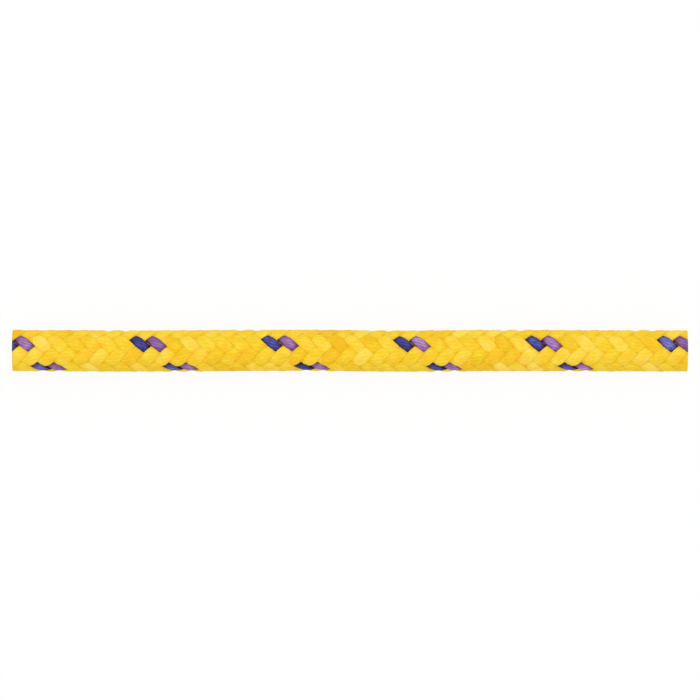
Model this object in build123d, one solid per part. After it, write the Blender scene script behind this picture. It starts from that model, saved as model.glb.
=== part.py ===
"""A straight length of kernmantle climbing rope, cut square at both ends.

The rope lies along X on the plane z = 0, with the origin under the middle of its length.
Outside is the sheath: 16 flat strands, 8 laid right-handed and 8 left-handed, braided
over two and under two. Two neighbouring right-handed strands are coloured tracers.
Inside is the core: 12 straight cords, each of three plies twisted together, and a thin
marking tape between the core and the sheath. Lengths are in millimetres.
"""

from build123d import *
from math import cos, pi, radians, sin
import os

# ---- Rope ----
rope_length = 164.0
crest_diameter = 10.2  # over the crests of the sheath strands, on a 10 mm rope

# ---- Sheath ----
strands_each_way = 8
braid_pitch = 32.0  # length in which a strand goes once round the rope
strand_thickness = 0.86
strand_fill = 0.95  # share of its room across the braid that a strand takes
strand_gap = 0.03  # least clearance where two strands cross
braid_turn = 54.5  # degrees that the braid is turned about the rope's axis
tracer_numbers = {5: "blue", 4: "purple"}  # right-handed strands of another colour

# ---- Core ----
inner_cords = 3
outer_cords = 9
cord_gap = 0.03  # least clearance between two cords, and between two plies of a cord
plies_per_cord = 3
ply_lay = 16.0  # length in which a ply goes once round its cord

# ---- Marking tape ----
tape_width = 1.6
tape_thickness = 0.06
tape_gap = 0.03  # clearance from the tape to the core, and to the sheath
tape_turn = 200.0  # degrees from +Y towards +Z at which the tape lies

# ---- Sizes that follow: sheath ----
crossing = braid_pitch / (2 * strands_each_way)  # length of rope between two crossings
crossing_angle = pi / strands_each_way
middle_radius = crest_diameter / 2 - strand_thickness - strand_gap / 2
rise = (strand_thickness + strand_gap) / 2  # how far a strand swings from the middle radius
bore_radius = middle_radius - rise - strand_thickness / 2

# ---- Sizes that follow: core ----
core_radius = bore_radius - tape_thickness - 2 * tape_gap
inner_ring = 1 / (2 * sin(pi / inner_cords))  # radii of the two rings, in cord spacings
outer_ring = max(inner_ring + 1, 1 / (2 * sin(pi / outer_cords)))
cord_diameter = (core_radius - outer_ring * cord_gap) / (outer_ring + 0.5)
cord_spacing = cord_diameter + cord_gap
ply_ring = 1 / (2 * sin(pi / plies_per_cord))  # in ply spacings
ply_diameter = (cord_diameter / 2 - ply_ring * cord_gap) / (ply_ring + 0.5)
ply_spacing = ply_diameter + cord_gap

# A strand's section is a lens: each long edge's place across it, and which face it is on.
lens_edges = [(-1, 0), (-0.5, 1), (0, 1), (0.5, 1), (1, 0), (0.5, -1), (0, -1), (-0.5, -1)]
ply_corners = 6
steps_per_crossing = 3
crossings_per_span = 4
steps_per_lay = 8


def round_axis(x, angle, radius):
    """The point at x along the rope's axis, and at an angle and a radius about it."""
    return Vector(x, radius * cos(angle), radius * sin(angle))


def long_solid(edge_points, step, steps_per_span):
    """A closed solid the length of the rope, ruled between smooth long edges.

    Each item of edge_points gives the point of one long edge at x. The edges are cut
    into spans that meet in the same direction, and each cut end is one flat face.
    """
    steps = round(rope_length / step)
    stations = [rope_length * (i / steps - 0.5) for i in range(steps + 1)]
    cuts = list(range(0, steps, steps_per_span)) + [steps]
    nudge = step / 100
    edges = []
    for point in edge_points:
        spans = []
        for first, last in zip(cuts, cuts[1:]):
            points = [point(x) for x in stations[first : last + 1]]
            ends = (stations[first], stations[last])
            directions = [(point(x + nudge) - point(x - nudge)).normalized() for x in ends]
            spans.append(Edge.make_spline(points, tangents=directions, scale=False))
        edges.append(spans)
    faces = []
    for spans, next_spans in zip(edges, edges[1:] + edges[:1]):
        faces += [Face.make_surface_from_curves(*pair) for pair in zip(spans, next_spans)]
    for x in (stations[0], stations[-1]):
        faces.append(Face(Wire.make_polygon([point(x) for point in edge_points])))
    return Solid(Shell(faces))


# ---- Sheath strands ----
def swing(place):
    """Height of a strand's middle: +1 over two crossings, then -1 under the next two.

    Place counts crossings. The strand is over from -0.5 to 1.5 of every 4, and changes
    along two parabolas, half a crossing long, that meet where it passes the middle.
    """
    place = (place + 0.5) % 4
    to_change = min(place % 2, 2 - place % 2, 0.5)
    side = 1 if place < 2 else -1
    return side * (1 - (1 - 2 * to_change) ** 2)


def sheath_strand(hand, number):
    """One strand of the braid: hand is 1 for right-handed and -1 for left-handed."""

    def long_edge(across, face):
        aside = across * strand_fill / 2
        half_thickness = face * strand_thickness / 2 * (1 - across**2)

        def point(x):
            along = hand * x / crossing
            angle = radians(braid_turn) + (2 * (number + aside) + along) * crossing_angle
            height = hand * rise * swing(2 * number + aside + along)
            return round_axis(x, angle, middle_radius + height + half_thickness)

        return point

    edge_points = [long_edge(across, face) for across, face in lens_edges]
    return long_solid(edge_points, crossing / steps_per_crossing, crossings_per_span * steps_per_crossing)


# ---- Core cords ----
def ply(cord_angle, ring_radius, hand, number):
    """One ply of a cord: a many-sided bar that winds round the cord's own axis."""
    cord_y = ring_radius * cos(cord_angle)
    cord_z = ring_radius * sin(cord_angle)
    start = 2 * pi * number / plies_per_cord + cord_angle

    def long_edge(corner):
        corner_turn = 2 * pi * corner / ply_corners

        def point(x):
            wind = start + hand * 2 * pi * x / ply_lay
            middle = round_axis(x, wind, ply_ring * ply_spacing)
            out = round_axis(0, wind + corner_turn, ply_diameter / 2)
            return middle + out + Vector(0, cord_y, cord_z)

        return point

    edge_points = [long_edge(corner) for corner in range(ply_corners)]
    return long_solid(edge_points, ply_lay / steps_per_lay, steps_per_lay)


def core_cord(ring_radius, place, places):
    """Three plies, twisted right-handed in every other cord and left-handed in the rest."""
    angle = 2 * pi * place / places
    hand = 1 if place % 2 == 0 else -1
    return Compound([ply(angle, ring_radius, hand, number) for number in range(plies_per_cord)])


# ---- Marking tape ----
def marking_tape():
    """A flat tape, bent to the core, that runs straight along it."""
    inner = core_radius + tape_gap
    section = Circle(inner + tape_thickness) - Circle(inner)
    wedge = Rectangle(2 * core_radius, tape_width, align=(Align.MIN, Align.CENTER))
    strip = extrude(Plane.YZ * Rot(0, 0, tape_turn) * (section & wedge), rope_length / 2, both=True)
    return strip


def build_rope():
    """Every piece by its node's name, round the rope's own axis."""
    pieces = {}
    for number in range(strands_each_way):
        colour = tracer_numbers.get(number)
        name = f"{colour}_tracer_strand" if colour else f"right_sheath_strand_{number + 1}"
        pieces[name] = sheath_strand(1, number)
        pieces[f"left_sheath_strand_{number + 1}"] = sheath_strand(-1, number)
    for place in range(inner_cords):
        pieces[f"inner_core_cord_{place + 1}"] = core_cord(inner_ring * cord_spacing, place, inner_cords)
    for place in range(outer_cords):
        pieces[f"outer_core_cord_{place + 1}"] = core_cord(outer_ring * cord_spacing, place, outer_cords)
    pieces["marking_tape"] = marking_tape()
    return pieces


rope = build_rope()
lowest = min(piece.bounding_box().min.Z for name, piece in rope.items() if "strand" in name)
os.makedirs("parts", exist_ok=True)
for name, piece in rope.items():
    export_step(Pos(0, 0, -lowest) * piece, f"parts/{name}.step")
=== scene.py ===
"""The looks of a straight length of kernmantle climbing rope, cut square at both ends."""

import math

import bpy
import numpy as np
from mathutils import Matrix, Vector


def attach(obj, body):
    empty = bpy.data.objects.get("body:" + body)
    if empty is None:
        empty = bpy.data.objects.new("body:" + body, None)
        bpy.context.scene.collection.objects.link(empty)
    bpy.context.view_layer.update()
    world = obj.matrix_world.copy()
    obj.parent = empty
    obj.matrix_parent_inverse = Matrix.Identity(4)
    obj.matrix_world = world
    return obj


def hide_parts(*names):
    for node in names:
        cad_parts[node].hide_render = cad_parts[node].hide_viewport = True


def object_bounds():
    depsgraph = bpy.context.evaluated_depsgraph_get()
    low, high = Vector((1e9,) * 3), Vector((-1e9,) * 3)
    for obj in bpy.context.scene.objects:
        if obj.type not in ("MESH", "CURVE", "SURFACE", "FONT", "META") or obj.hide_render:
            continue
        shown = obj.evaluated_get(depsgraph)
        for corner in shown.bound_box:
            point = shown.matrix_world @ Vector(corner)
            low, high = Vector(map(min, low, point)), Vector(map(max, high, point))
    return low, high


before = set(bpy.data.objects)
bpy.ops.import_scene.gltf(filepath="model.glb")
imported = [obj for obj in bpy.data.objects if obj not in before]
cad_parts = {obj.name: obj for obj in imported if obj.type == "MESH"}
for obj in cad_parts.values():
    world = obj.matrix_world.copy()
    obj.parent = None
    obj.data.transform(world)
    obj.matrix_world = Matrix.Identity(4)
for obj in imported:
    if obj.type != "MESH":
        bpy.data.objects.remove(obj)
cad_low, cad_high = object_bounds()

# ---- The rope's route ----
# The rope is a cut sample that lies straight on a flat surface. It keeps the very slight
# sideways waver of a rope that has been wound on a drum.

MM = 0.001
LYING_HEIGHT = 5.12 * MM  # of the middle line, with the lowest crests settled on the floor
# Sideways waver, as (share of half the length, millimetres to the side).
WAVER = [(-1, 0.05), (-0.62, -0.12), (-0.34, 0.06), (-0.09, 0.12)]
WAVER += [(0.13, -0.16), (0.44, 0.10), (0.8, -0.04), (1, -0.04)]
STEPS_PER_POINT = 24

half_length = (cad_high.x - cad_low.x) / 2
route_curve = bpy.data.curves.new("rope_route", "CURVE")
route_curve.dimensions = "3D"
route_curve.resolution_u = STEPS_PER_POINT
spline = route_curve.splines.new("NURBS")
spline.points.add(len(WAVER) - 1)
for point, (share, aside) in zip(spline.points, WAVER):
    point.co = (share * half_length, aside * MM, LYING_HEIGHT, 1)
spline.order_u = 3
spline.use_endpoint_u = True
route_object = bpy.data.objects.new("rope_route", route_curve)
bpy.context.collection.objects.link(route_object)
route_mesh = bpy.data.meshes.new_from_object(route_object)
ROUTE = np.empty(len(route_mesh.vertices) * 3)
route_mesh.vertices.foreach_get("co", ROUTE)
ROUTE = ROUTE.reshape(-1, 3)
bpy.data.objects.remove(route_object)
route_steps = np.linalg.norm(np.diff(ROUTE, axis=0), axis=1)
ROUTE_AT = np.concatenate([[0], np.cumsum(route_steps)])  # the route's length up to each point
rope_length = ROUTE_AT[-1]


def round_route(along, angle, radius):
    """Points round the route, for arrays of one shape.

    Along is the length from the middle of the rope. The middle line there is read off the
    route, its side is level and square to the route, and the point lies at the radius from
    the middle line, turned by the angle from the side towards straight up.
    """
    at = along + rope_length / 2
    middle = np.stack([np.interp(at, ROUTE_AT, ROUTE[:, axis]) for axis in range(3)], -1)
    ahead = np.gradient(ROUTE, ROUTE_AT, axis=0)
    ahead = np.stack([np.interp(at, ROUTE_AT, ahead[:, axis]) for axis in range(3)], -1)
    side = np.stack([-ahead[..., 1], ahead[..., 0], 0 * at], -1)
    side /= np.linalg.norm(side, axis=-1, keepdims=True)
    up = np.cross(ahead, side)
    up /= np.linalg.norm(up, axis=-1, keepdims=True)
    outward = np.cos(angle)[..., None] * side + np.sin(angle)[..., None] * up
    return middle + radius[..., None] * outward


# ---- The sheath's bundles ----
# Sixteen bundles of polyamide yarn, eight laid each way, braided over two and under two on
# a braiding machine. Each bundle holds three twisted yarns side by side, pressed flat
# against its neighbours. Two of the right-handed ones are tracers of another colour.

ROPE_RADIUS = 5.22 * MM  # over the crests of the braid
BUNDLES_EACH_WAY = 8
PITCH = 32.0 * MM  # length of rope in which a bundle goes once round it
CROSSING = PITCH / (2 * BUNDLES_EACH_WAY)  # length of rope between two crossings
BRAID_TURN = math.radians(54.5)  # about the rope's axis
THICKNESS = 0.96 * MM
MIDDLE_RADIUS = ROPE_RADIUS - THICKNESS
BULGE = 0.35 * MM  # a bundle is this much flatter where it is pressed, and rounder where free
RISE = THICKNESS / 2 - BULGE  # how far a bundle swings out and in from the middle radius
CHANGE_REACH = 0.9  # crossings over which a bundle levels out after it changes sides
HEMMED = 1.1  # width of a bundle beside its neighbour, as a share of its room in the braid
SPREAD = 1.45  # and where its neighbour dives away
YARNS_PER_BUNDLE = 3
YARN_GROOVE = 0.08 * MM  # depth of the groove between two yarns of a bundle
TRACER_COLOURS = {5: "blue", 4: "purple"}  # by number, of the right-handed bundles
TRACER_SHARES = (0.8, 0.7)  # width and thickness of a tracer, as shares of the others'
FLOAT_DRAWS = 64  # more than a bundle has floats
FLOAT_SPREAD = 0.02 * MM  # how unevenly high the floats stand
TONE_SPREAD = 0.16  # how unevenly dark the floats are
CUT_SPREAD = 0.05 * MM  # how unevenly the bundles are cut
CORNERS = 52  # round a bundle
STATIONS = 760  # along it
dice = np.random.default_rng(11)

lay_angle = math.atan(2 * math.pi * MIDDLE_RADIUS / PITCH)
half_room = MIDDLE_RADIUS * math.pi / BUNDLES_EACH_WAY  # round the rope, at the middle radius


def swing(place):
    """+1 where a bundle lies over two others and -1 under the next two, along parabolas.

    Place counts crossings. The bundle is over from -0.5 to 1.5 of every 4.
    """
    place = (place + 0.5) % 4
    to_change = np.minimum(np.minimum(place % 2, 2 - place % 2) / CHANGE_REACH, 1)
    return np.where(place < 2, 1, -1) * (1 - (1 - to_change) ** 2)


def closed_tubes(name, tubes):
    """One mesh of closed tubes, from an array of tube, station along it, corner round it.

    Quads join each corner to the next, and a fan from the middle closes each end. The
    sides are smooth and take the first material, and the ends are flat and take the second.
    """
    count, stations, corners = tubes.shape[:3]
    middles = tubes[:, [0, -1]].mean(2)
    vertices = np.concatenate([tubes.reshape(count, -1, 3), middles], 1)
    station, corner = np.meshgrid(np.arange(stations - 1), np.arange(corners), indexing="ij")
    here, beside = station * corners + corner, station * corners + (corner + 1) % corners
    quads = np.stack([here, beside, beside + corners, here + corners], -1).reshape(-1, 4)
    ring, last_ring = np.arange(corners), (stations - 1) * corners
    after = (ring + 1) % corners
    first_middle = np.full(corners, stations * corners)
    first_fan = np.stack([after, ring, first_middle], -1)
    last_fan = np.stack([last_ring + ring, last_ring + after, first_middle + 1], -1)
    fans = np.concatenate([first_fan, last_fan])
    faces = []
    for tube in range(count):
        start = tube * vertices.shape[1]
        faces += (quads + start).tolist() + (fans + start).tolist()
    mesh = bpy.data.meshes.new(name)
    mesh.from_pydata(vertices.reshape(-1, 3), [], faces)
    is_end = np.tile(np.repeat([False, True], [len(quads), len(fans)]), count)
    mesh.polygons.foreach_set("use_smooth", ~is_end)
    mesh.polygons.foreach_set("material_index", is_end.astype(int))
    piece = bpy.data.objects.new(name, mesh)
    bpy.context.collection.objects.link(piece)
    return piece


def lay_map(piece, along, across, tone, depth):
    """A map in millimetres along and across each tube, and a tone and a depth at each vertex.

    The tone runs from 0, dark, to 1, light. The depth is how far a vertex lies under the
    crest of the tube's own floats, and is kept in millimetres; the yarn's finish paints
    shade by it into grooves and pits. The middles of the two cut ends lie at zero along
    and across, and have a tone and a depth of their own.
    """
    end_tone, end_depth = 0.5, 0.3
    count = len(along)
    ends = np.zeros((count, 2))
    flat = [np.concatenate([grid.reshape(count, -1), ends], 1).ravel() for grid in (along, across)]
    vertex_of_corner = np.empty(len(piece.data.loops), np.int32)
    piece.data.loops.foreach_get("vertex_index", vertex_of_corner)
    places = np.stack(flat, -1)[vertex_of_corner] / MM
    piece.data.uv_layers.new(name="lay").data.foreach_set("uv", places.ravel())
    for label, values, at_ends in (("tone", tone, end_tone), ("depth", depth / MM, end_depth)):
        values = np.concatenate([values.reshape(count, -1), ends + at_ends], 1)
        piece.data.attributes.new(label, "FLOAT", "POINT").data.foreach_set("value", values.ravel())


def sheath_bundle(name, hand, number, width_share, thickness_share):
    """One bundle of the braid, hand 1 laid right-handed and -1 left-handed.

    The section is an oval, scalloped on the outside into the bundle's yarns. The bundle
    winds round the rope once a pitch and swings over and under those that cross it, and
    each point across it has its own place in the braid, so its floats are slanted. Each
    side of it is narrow along a neighbour at its own level, and spreads where that one dives.
    """
    turn = np.linspace(0, 2 * math.pi, CORNERS, endpoint=False)
    first, last = np.array([-0.5, 0.5]) * rope_length + CUT_SPREAD * dice.uniform(0, 1, 2) * (1, -1)
    along, across = np.meshgrid(np.linspace(first, last, STATIONS), np.cos(turn), indexing="ij")
    out = np.broadcast_to(np.sin(turn), along.shape)
    run = 2 * number + hand * along / CROSSING  # place in the braid, counted in crossings
    side = np.sign(across)
    free = (1 - swing(run + side / 2) * swing(run + 1.5 * side)) / 2  # 1 where the neighbour dives
    aside = across * width_share * (HEMMED + (SPREAD - HEMMED) * free) / 2
    float_number = np.floor((run + 0.5) / 4).astype(int) % FLOAT_DRAWS
    uneven_height, uneven_tone = dice.normal(0, 1, (2, FLOAT_DRAWS))
    scallop = YARN_GROOVE * (np.abs(np.sin(math.pi * YARNS_PER_BUNDLE * (across + 1) / 2)) - 1)
    level = hand * swing(run + aside)
    half_thick = thickness_share * (THICKNESS / 2 + np.sign(out) * BULGE * level)
    radius = MIDDLE_RADIUS + RISE * level + out * half_thick
    radius += (out > 0) * out * (scallop + FLOAT_SPREAD * uneven_height[float_number])
    angle = BRAID_TURN + (run + 2 * aside) * math.pi / BUNDLES_EACH_WAY
    reverse = slice(None, None, -1)  # of the corners, so that the faces point outward
    piece = closed_tubes(name, round_route(along, angle, radius)[None, :, reverse])
    lengthwise = along / math.cos(lay_angle) + hand * half_room * across * math.sin(lay_angle)
    crosswise = hand * half_room * across * math.cos(lay_angle)
    tone = 0.5 + TONE_SPREAD * uneven_tone[float_number]
    # The depth under the crest, by which the yarn's finish paints shade into grooves and pits.
    crest = MIDDLE_RADIUS + RISE + thickness_share * (THICKNESS / 2 + BULGE)
    grids = (lengthwise, crosswise, tone, crest - radius)
    lay_map(piece, *(grid[None, :, reverse] for grid in grids))
    return piece


def node_for(tree, kind, **inputs):
    """A new node of a material, with the values given for its inputs."""
    made = tree.nodes.new(kind)
    for label, value in inputs.items():
        made.inputs[label.replace("_", " ")].default_value = value
    return made


def new_finish(name, roughness, specular=0.5):
    """A new material with one shader, and its tree of nodes and that shader."""
    material = bpy.data.materials.new(name)
    material.use_nodes = True
    shader = material.node_tree.nodes["Principled BSDF"]
    shader.inputs["Roughness"].default_value = roughness
    shader.inputs["Specular IOR Level"].default_value = specular
    return material, material.node_tree, shader


def ramp_for(tree, share, stops):
    """The colour at a share, between stops that are each a share and its colour."""
    ramp = tree.nodes.new("ShaderNodeValToRGB")
    elements = ramp.color_ramp.elements
    elements[0].position, elements[1].position = stops[0][0], stops[-1][0]
    for position, colour in stops[1:-1]:
        elements.new(position)
    for element, (position, colour) in zip(elements, stops):
        element.color = (*colour, 1)
    tree.links.new(share, ramp.inputs["Fac"])
    return ramp.outputs["Color"]


def tint(tree, base, share, colour):
    """The base colour, with a share of another colour mixed in."""
    mix = tree.nodes.new("ShaderNodeMix")
    mix.data_type = "RGBA"
    tree.links.new(share, mix.inputs["Factor"])
    tree.links.new(base, mix.inputs["A"])
    mix.inputs["B"].default_value = (*colour, 1)
    return mix.outputs["Result"]


YARN_SLANT = math.radians(24)  # of the twist's bands to the run of the yarn
TWIST_SCALE = 0.55  # of the wave, which puts the bands 0.57 mm apart
FILAMENT_DRAW = (0.5, 6.0, 1)  # the filaments' noise is coarse along the yarn and fine across
FILAMENT_BUMP = 0.07 * MM
PATCH_SCALE = 520.0  # of the noise within a float, to the metre
STAIN_SCALE = 330.0  # of the noise that lays in the stain, to the metre
PATCH_SHARE = 0.5  # of the noise within a float, in its tone
STRAND_SHARE = 0.35  # of the twist and the filaments together, in the tone, where the twist's bands are painted highlight and shade
SHADE_TONES = (0.36, 0.5, 0.64)  # that take the dark, the middle and the light shade


def yarn_finish(name, shades, stain, groove_shade, shade_depths, twist_share):
    """Twisted filament yarn: shades from dark to light, by the tone of each float.

    Broad noise shifts the tone within a float, and broader noise lays in the stain, which
    is the dye's other hue. Bands aslant to the yarn are its twist, and fine noise drawn out
    along the yarn is its filaments. Both give bump, and both give tone, where the twist's
    bands are painted highlight and shade. Between two depths under the crest, in
    millimetres, the colour turns to a painted shade, the more so the deeper a point lies.
    """
    material, tree, shader = new_finish(name, roughness=0.62, specular=0.2)
    links = tree.links
    place = tree.nodes.new("ShaderNodeTexCoord").outputs["Object"]
    lay = tree.nodes.new("ShaderNodeUVMap")
    lay.uv_map = "lay"
    tone = tree.nodes.new("ShaderNodeAttribute")
    tone.attribute_name = "tone"
    depth = tree.nodes.new("ShaderNodeAttribute")
    depth.attribute_name = "depth"

    def pattern(kind, source, **inputs):
        """The values of a pattern that is laid out on the places given."""
        made = node_for(tree, kind, **inputs)
        links.new(source, made.inputs["Vector"])
        return made.outputs["Fac"]

    def turned_lay(turn, scale):
        """The map, scaled along and across the yarn and only then turned."""
        made = node_for(tree, "ShaderNodeMapping", Rotation=(0, 0, turn), Scale=scale)
        links.new(lay.outputs["UV"], made.inputs["Vector"])
        return made.outputs["Vector"]

    def blend(first, second, share):
        """Two values mixed, with this share of the second."""
        mix = node_for(tree, "ShaderNodeMix", Factor=share)
        links.new(first, mix.inputs["A"])
        links.new(second, mix.inputs["B"])
        return mix.outputs["Result"]

    drawn_out = turned_lay(YARN_SLANT, FILAMENT_DRAW)
    filaments = pattern("ShaderNodeTexNoise", drawn_out, Scale=1.3, Detail=6.0, Roughness=0.7)
    aslant = turned_lay(YARN_SLANT + math.pi / 2, (1, 1, 1))
    twist = pattern("ShaderNodeTexWave", aslant, Scale=TWIST_SCALE, Distortion=2.2, Detail=2.0)
    # In the tone the twist's bands are painted highlight and shade of the twisted yarn; in the bump they
    # are its relief.
    strands_and_twist_light = blend(filaments, twist, twist_share)
    patches = pattern("ShaderNodeTexNoise", place, Scale=PATCH_SCALE, Detail=3.0)
    mixed = blend(blend(tone.outputs["Fac"], patches, PATCH_SHARE), strands_and_twist_light, STRAND_SHARE)
    colour = ramp_for(tree, mixed, list(zip(SHADE_TONES, shades)))

    dye = pattern("ShaderNodeTexNoise", place, Scale=STAIN_SCALE, Detail=2.0)
    stained = node_for(tree, "ShaderNodeMapRange", From_Min=0.5, From_Max=0.75, To_Max=0.65)
    links.new(dye, stained.inputs["Value"])
    colour = tint(tree, colour, stained.outputs["Result"], stain)
    # Painted shade: the deeper a point lies under the crest, the more its colour turns to the groove
    # shade.
    shallow, deep = shade_depths
    painted_shade = node_for(tree, "ShaderNodeMapRange", From_Min=shallow, From_Max=deep)
    links.new(depth.outputs["Fac"], painted_shade.inputs["Value"])
    colour = tint(tree, colour, painted_shade.outputs["Result"], groove_shade)
    links.new(colour, shader.inputs["Base Color"])

    bump = node_for(tree, "ShaderNodeBump", Strength=1.0, Distance=FILAMENT_BUMP)
    links.new(strands_and_twist_light, bump.inputs["Height"])
    links.new(bump.outputs["Normal"], shader.inputs["Normal"])
    return material


DOT_SCALE = 9000.0  # of the dots in a cut end, to the metre
DOT_MIDDLE, DOT_EDGE = 0.2, 0.8  # distances in a dot at which it is lightest, and darkest with painted shade between the filament ends


def cut_finish(name, shades):
    """The cut ends of filaments: tiny dots, light at their middles, with painted shade dark between them.
    """
    material, tree, shader = new_finish(name, roughness=0.8, specular=0.25)
    place = tree.nodes.new("ShaderNodeTexCoord").outputs["Object"]
    dots = node_for(tree, "ShaderNodeTexVoronoi", Scale=DOT_SCALE)
    tree.links.new(place, dots.inputs["Vector"])
    stops = [(DOT_MIDDLE, shades[2]), (DOT_EDGE, shades[0])]
    colour = ramp_for(tree, dots.outputs["Distance"], stops)
    tree.links.new(colour, shader.inputs["Base Color"])
    return material


# Each colour's shades from dark to light, its stain, the painted shade in its grooves and
# the depths between which that comes in, and how strongly its twist shows, in bump and in
# painted highlight and shade.
SHEATH_YARNS = {
    "yellow": ([(0.87, 0.50, 0.004), (0.94, 0.64, 0.018), (0.98, 0.73, 0.10)],
               (1.0, 0.52, 0.02), (0.62, 0.34, 0.002), (0.35, 1.0), 0.2),
    "blue": ([(0.026, 0.024, 0.15), (0.080, 0.078, 0.37), (0.24, 0.22, 0.68)],
             (0.10, 0.06, 0.34), (0.008, 0.003, 0.025), (0.05, 0.34), 0.3),
    "purple": ([(0.19, 0.075, 0.26), (0.34, 0.16, 0.45), (0.62, 0.40, 0.72)],
               (0.42, 0.15, 0.42), (0.08, 0.010, 0.05), (0.06, 0.42), 0.3),
}
finishes = {}
for colour, yarn in SHEATH_YARNS.items():
    finishes[colour] = (yarn_finish(f"{colour}_yarn", *yarn), cut_finish(f"cut_{colour}_yarn", yarn[0]))

for number in range(BUNDLES_EACH_WAY):
    for handed, hand in (("right", 1), ("left", -1)):
        node, slot = f"{handed}_sheath_strand_{number + 1}", "sheath_yellow"
        colour, shares = "yellow", (1, 1)
        if hand == 1 and number in TRACER_COLOURS:
            colour, shares = TRACER_COLOURS[number], TRACER_SHARES
            node, slot = f"{colour}_tracer_strand", f"tracer_{colour}"
        bundle = sheath_bundle(f"{node}_yarns", hand, number, *shares)
        for material in finishes[colour]:
            bundle.data.materials.append(material)
        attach(bundle, "root")
        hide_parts(node)

# ---- The core's cords ----
# Twelve white polyamide cords, three inside and nine round them. Each is three plies
# twisted together, every other cord the other way, and the sheath squeezes them until
# their sides are flat against each other.

BORE_RADIUS = MIDDLE_RADIUS - THICKNESS
TAPE_ROOM = 0.07 * MM  # between the core and the sheath
CORE_RADIUS = BORE_RADIUS - TAPE_ROOM
INNER_CORDS = 3
OUTER_CORDS = 9
INNER_RING = 0.90 * MM  # radius on which the middles of the inner cords lie
OUTER_RING = 2.50 * MM  # and of the outer ones
RING_BORDER = 1.66 * MM  # radius at which the two rings of cords meet
HEART_RADIUS = 0.05 * MM  # radius that the inner ring leaves free
WALL_HARDNESS = 12  # the higher, the sharper the corners between walls
PLIES = 3
PLY_LAY = 16.0 * MM  # length in which a ply goes once round its cord
PLY_MIDDLE = 0.52  # from the cord's axis, as a share of the cord's radius
PLY_GAP = 0.045  # half the room between two plies, as the same share
PLY_TILTS = (-0.7, 0, 0.7)  # angles of the three walls that round off a ply's outside
PLY_TONE_SPREAD = 0.1  # how unevenly dark the plies are
PLY_MAP_WIDTH = MM / 3  # on the map, of a stretch round a ply as long as the cord's radius
PLY_CORNERS = 22  # round a ply
PLY_STATIONS = 200  # along it


def rounded_walls(direction, walls):
    """How far a rounded shape reaches in a direction from its middle.

    Each wall is an angle and a distance. The reach is the walls' distances along that
    direction, joined by a power mean, which rounds the corners between the walls.
    """
    total = sum(np.maximum(np.cos(direction - angle) / far, 0) ** WALL_HARDNESS for angle, far in walls)
    return total ** (-1 / WALL_HARDNESS)


def core_cord(name, ring_radius, place, places):
    """A cord of three plies, each a rounded third of a disc that winds about the cord's axis.

    The disc is then drawn out to the room that the cord has between its neighbours.
    """
    at_angle = 2 * math.pi * place / places
    hand = 1 if place % 2 == 0 else -1
    third = math.pi / PLIES
    ply_side = PLY_MIDDLE * math.sin(third) - PLY_GAP
    ply_walls = [(math.pi / 2 + third, ply_side), (-math.pi / 2 - third, ply_side)]
    ply_walls += [(tilt, 1 - PLY_MIDDLE * math.cos(tilt)) for tilt in PLY_TILTS]
    outward = CORE_RADIUS if places == OUTER_CORDS else RING_BORDER
    inward = RING_BORDER if places == OUTER_CORDS else HEART_RADIUS
    half_cell = math.pi / places
    beside = ring_radius * math.sin(half_cell)
    cell_walls = [(at_angle + math.pi, ring_radius - inward)]
    cell_walls += [(at_angle + side * (math.pi / 2 + half_cell), beside) for side in (1, -1)]
    for tilt in (-half_cell, 0, half_cell):
        cell_walls.append((at_angle + tilt, outward - ring_radius * math.cos(tilt)))

    direction = np.linspace(0, 2 * math.pi, PLY_CORNERS, endpoint=False)
    reach = rounded_walls(direction, ply_walls)
    ply_outline = PLY_MIDDLE + reach * np.exp(1j * direction)
    half = rope_length / 2 - CUT_SPREAD * dice.uniform(0, 1, (PLIES, 1, 1))
    along = np.linspace(-half, half, PLY_STATIONS, axis=1)[:, :, 0]
    wind = at_angle + hand * 2 * math.pi * along / PLY_LAY
    ply_turn = 2 * math.pi * np.arange(PLIES)[:, None, None] / PLIES
    spot = ply_outline[None, None] * np.exp(1j * (wind + ply_turn))
    spot = spot * rounded_walls(np.angle(spot), cell_walls) + ring_radius * np.exp(1j * at_angle)
    along = np.broadcast_to(along, spot.shape)
    cord = closed_tubes(name, round_route(along, np.angle(spot), np.abs(spot)))
    crosswise = np.broadcast_to(reach * direction * PLY_MAP_WIDTH, spot.shape)
    tone = np.full(spot.shape, 0.5) + PLY_TONE_SPREAD * dice.normal(0, 1, (PLIES, 1, 1))
    lay_map(cord, along, crosswise, tone, 0 * tone)
    return cord


WHITE = [(0.62, 0.60, 0.54), (0.80, 0.79, 0.75), (0.88, 0.87, 0.84)]
# The plies lie at a depth of nothing, so this finish's painted groove shade never shows on them.
white_yarn = yarn_finish("white_yarn", WHITE, WHITE[1], WHITE[0], (0.25, 1.0), 0.3)
cut_white = cut_finish("cut_white_yarn", WHITE)
for ring, ring_radius, places in (("inner", INNER_RING, INNER_CORDS), ("outer", OUTER_RING, OUTER_CORDS)):
    for place in range(places):
        node = f"{ring}_core_cord_{place + 1}"
        cord = core_cord(f"{node}_plies", ring_radius, place, places)
        cord.data.materials.append(white_yarn)
        cord.data.materials.append(cut_white)
        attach(cord, "root")
        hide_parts(node)

# ---- The marking tape ----
# A thin strip of blank plastic film, laid in straight between the core and the sheath
# while the rope is braided. Only its two cut ends show.

TAPE_WIDTH = 1.6 * MM
TAPE_THICKNESS = 0.06 * MM
TAPE_TURN = math.radians(200)  # about the rope's axis
TAPE_ROUNDNESS = 0.5  # 1 gives the tape an oval section, and less a squarer one
TAPE_CORNERS = 24
TAPE_STATIONS = 60
FILM_DARK = (0.72, 0.72, 0.70)
FILM_LIGHT = (0.86, 0.86, 0.84)
FILM_CLOUD_SCALE = 400.0  # of the film's cloudiness, to the metre

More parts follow.
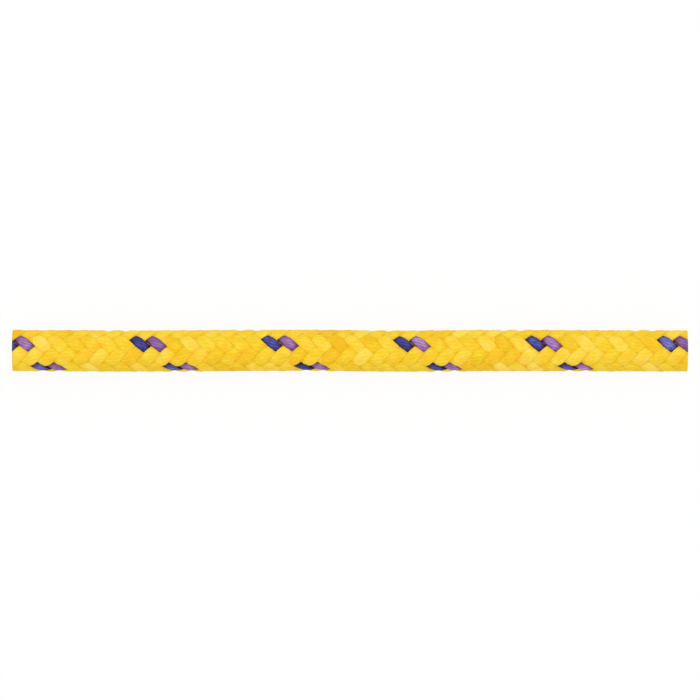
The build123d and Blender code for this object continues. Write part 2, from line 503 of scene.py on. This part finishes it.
corner_turn = np.linspace(0, 2 * math.pi, TAPE_CORNERS, endpoint=False)
tape_across = np.sign(np.cos(corner_turn)) * np.abs(np.cos(corner_turn)) ** TAPE_ROUNDNESS
tape_out = np.sign(np.sin(corner_turn)) * np.abs(np.sin(corner_turn)) ** TAPE_ROUNDNESS
tape_along = np.linspace(-0.5, 0.5, TAPE_STATIONS) * rope_length
tape_along, tape_across = np.meshgrid(tape_along, tape_across, indexing="ij")
tape_out = np.broadcast_to(tape_out, tape_along.shape)
tape_angle = TAPE_TURN + tape_across * TAPE_WIDTH / 2 / CORE_RADIUS
tape_radius = CORE_RADIUS + TAPE_ROOM / 2 + tape_out * TAPE_THICKNESS / 2
tape = closed_tubes("marking_tape_film", round_route(tape_along, tape_angle, tape_radius)[None, :, ::-1])
film, film_tree, film_shader = new_finish("plastic_film", roughness=0.25)
film_place = film_tree.nodes.new("ShaderNodeTexCoord").outputs["Object"]
film_cloud = node_for(film_tree, "ShaderNodeTexNoise", Scale=FILM_CLOUD_SCALE)
film_tree.links.new(film_place, film_cloud.inputs["Vector"])
film_colour = ramp_for(film_tree, film_cloud.outputs["Fac"], [(0, FILM_DARK), (1, FILM_LIGHT)])
film_tree.links.new(film_colour, film_shader.inputs["Base Color"])
tape.data.materials.append(film)
tape.data.materials.append(film)
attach(tape, "root")
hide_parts("marking_tape")

# ---- The floor ----
# A plain white sheet under the rope. The camera and glossy reflections see it almost
# white, whether lit or in shadow. All other light meets a matt white sheet.

FLOOR_SIZE = 4.0
FLOOR_WHITE = 0.85
FLOOR_GLOW = 0.91  # share of its white that the camera sees whether lit or in shadow

bpy.ops.mesh.primitive_plane_add(size=FLOOR_SIZE, location=(0, 0, 0))
floor = bpy.context.object
floor.name = "floor"
white = bpy.data.materials.new("white_sheet")
white.use_nodes = True
tree = white.node_tree
tree.nodes.clear()
matt = node_for(tree, "ShaderNodeBsdfDiffuse", Color=(FLOOR_WHITE,) * 3 + (1,))
dim = node_for(tree, "ShaderNodeBsdfDiffuse", Color=(1 - FLOOR_GLOW,) * 3 + (1,))
glow = node_for(tree, "ShaderNodeEmission", Strength=FLOOR_GLOW)
seen = tree.nodes.new("ShaderNodeAddShader")
choose = tree.nodes.new("ShaderNodeMixShader")
ray = tree.nodes.new("ShaderNodeLightPath")
either = tree.nodes.new("ShaderNodeMath")
either.operation = "MAXIMUM"
output = tree.nodes.new("ShaderNodeOutputMaterial")
tree.links.new(dim.outputs[0], seen.inputs[0])
tree.links.new(glow.outputs[0], seen.inputs[1])
tree.links.new(ray.outputs["Is Camera Ray"], either.inputs[0])
tree.links.new(ray.outputs["Is Glossy Ray"], either.inputs[1])
tree.links.new(either.outputs[0], choose.inputs["Fac"])
tree.links.new(matt.outputs[0], choose.inputs[1])
tree.links.new(seen.outputs[0], choose.inputs[2])
tree.links.new(choose.outputs[0], output.inputs["Surface"])
floor.data.materials.append(white)

# ---- The light ----
# An even pale sky, and a broad lamp on either side of the rope. The lamp before the rope
# is the weaker and warmer one.

SKY = 0.86  # strength of the sky's light, where the camera sees the sky at 1
LAMP_LENGTH = 0.8
LAMP_WIDTH = 0.4
LAMP_HEIGHT = 0.6
# Each lamp: its name, energy, colour, place behind (+) or before (-) the rope, and tilt.
LAMPS = [("key", 1.0, (1, 1, 1), 0.35, -30), ("fill", 0.4, (1, 0.90, 0.78), -0.5, 45)]

world = bpy.data.worlds.new("sky")
bpy.context.scene.world = world
world.use_nodes = True
sky_tree = world.node_tree
sky = sky_tree.nodes["Background"]
sky.inputs["Color"].default_value = (1, 1, 1, 1)
sky_ray = sky_tree.nodes.new("ShaderNodeLightPath")
strength = node_for(sky_tree, "ShaderNodeMapRange", To_Min=SKY, To_Max=1.0)
sky_tree.links.new(sky_ray.outputs["Is Camera Ray"], strength.inputs["Value"])
sky_tree.links.new(strength.outputs["Result"], sky.inputs["Strength"])

for name, energy, colour, behind, tilt in LAMPS:
    lamp = bpy.data.objects.new(name, bpy.data.lights.new(name, "AREA"))
    lamp.data.shape = "RECTANGLE"
    lamp.data.size, lamp.data.size_y = LAMP_LENGTH, LAMP_WIDTH
    lamp.data.energy = energy
    lamp.data.color = colour
    lamp.location = (0, behind, LAMP_HEIGHT)
    lamp.rotation_euler = (math.radians(tilt), 0, 0)
    bpy.context.collection.objects.link(lamp)

# ---- The camera ----
# It stands square above the rope and takes in the whole length from cut end to cut end,
# with a narrow margin. The lens is long, so that the rope's sides look parallel.

LENS_MM = 400.0
FRAME_SHARE = 0.9636  # share of the picture's width that the rope takes
ABOVE_MIDDLE = 0.17 * MM  # the rope lies this far below the middle of the picture
NEAREST_SEEN = 0.01  # from the camera

camera = bpy.data.objects.new("camera", bpy.data.cameras.new("camera"))
camera.data.lens = LENS_MM
camera.data.clip_start = NEAREST_SEEN
seen_width = (cad_high.x - cad_low.x) / FRAME_SHARE
distance = seen_width * LENS_MM / camera.data.sensor_width
axis_height = (cad_low.z + cad_high.z) / 2
camera.location = ((cad_low.x + cad_high.x) / 2, ABOVE_MIDDLE, axis_height + distance)
bpy.context.collection.objects.link(camera)
bpy.context.scene.camera = camera
bpy.context.scene.view_settings.view_transform = "Standard"
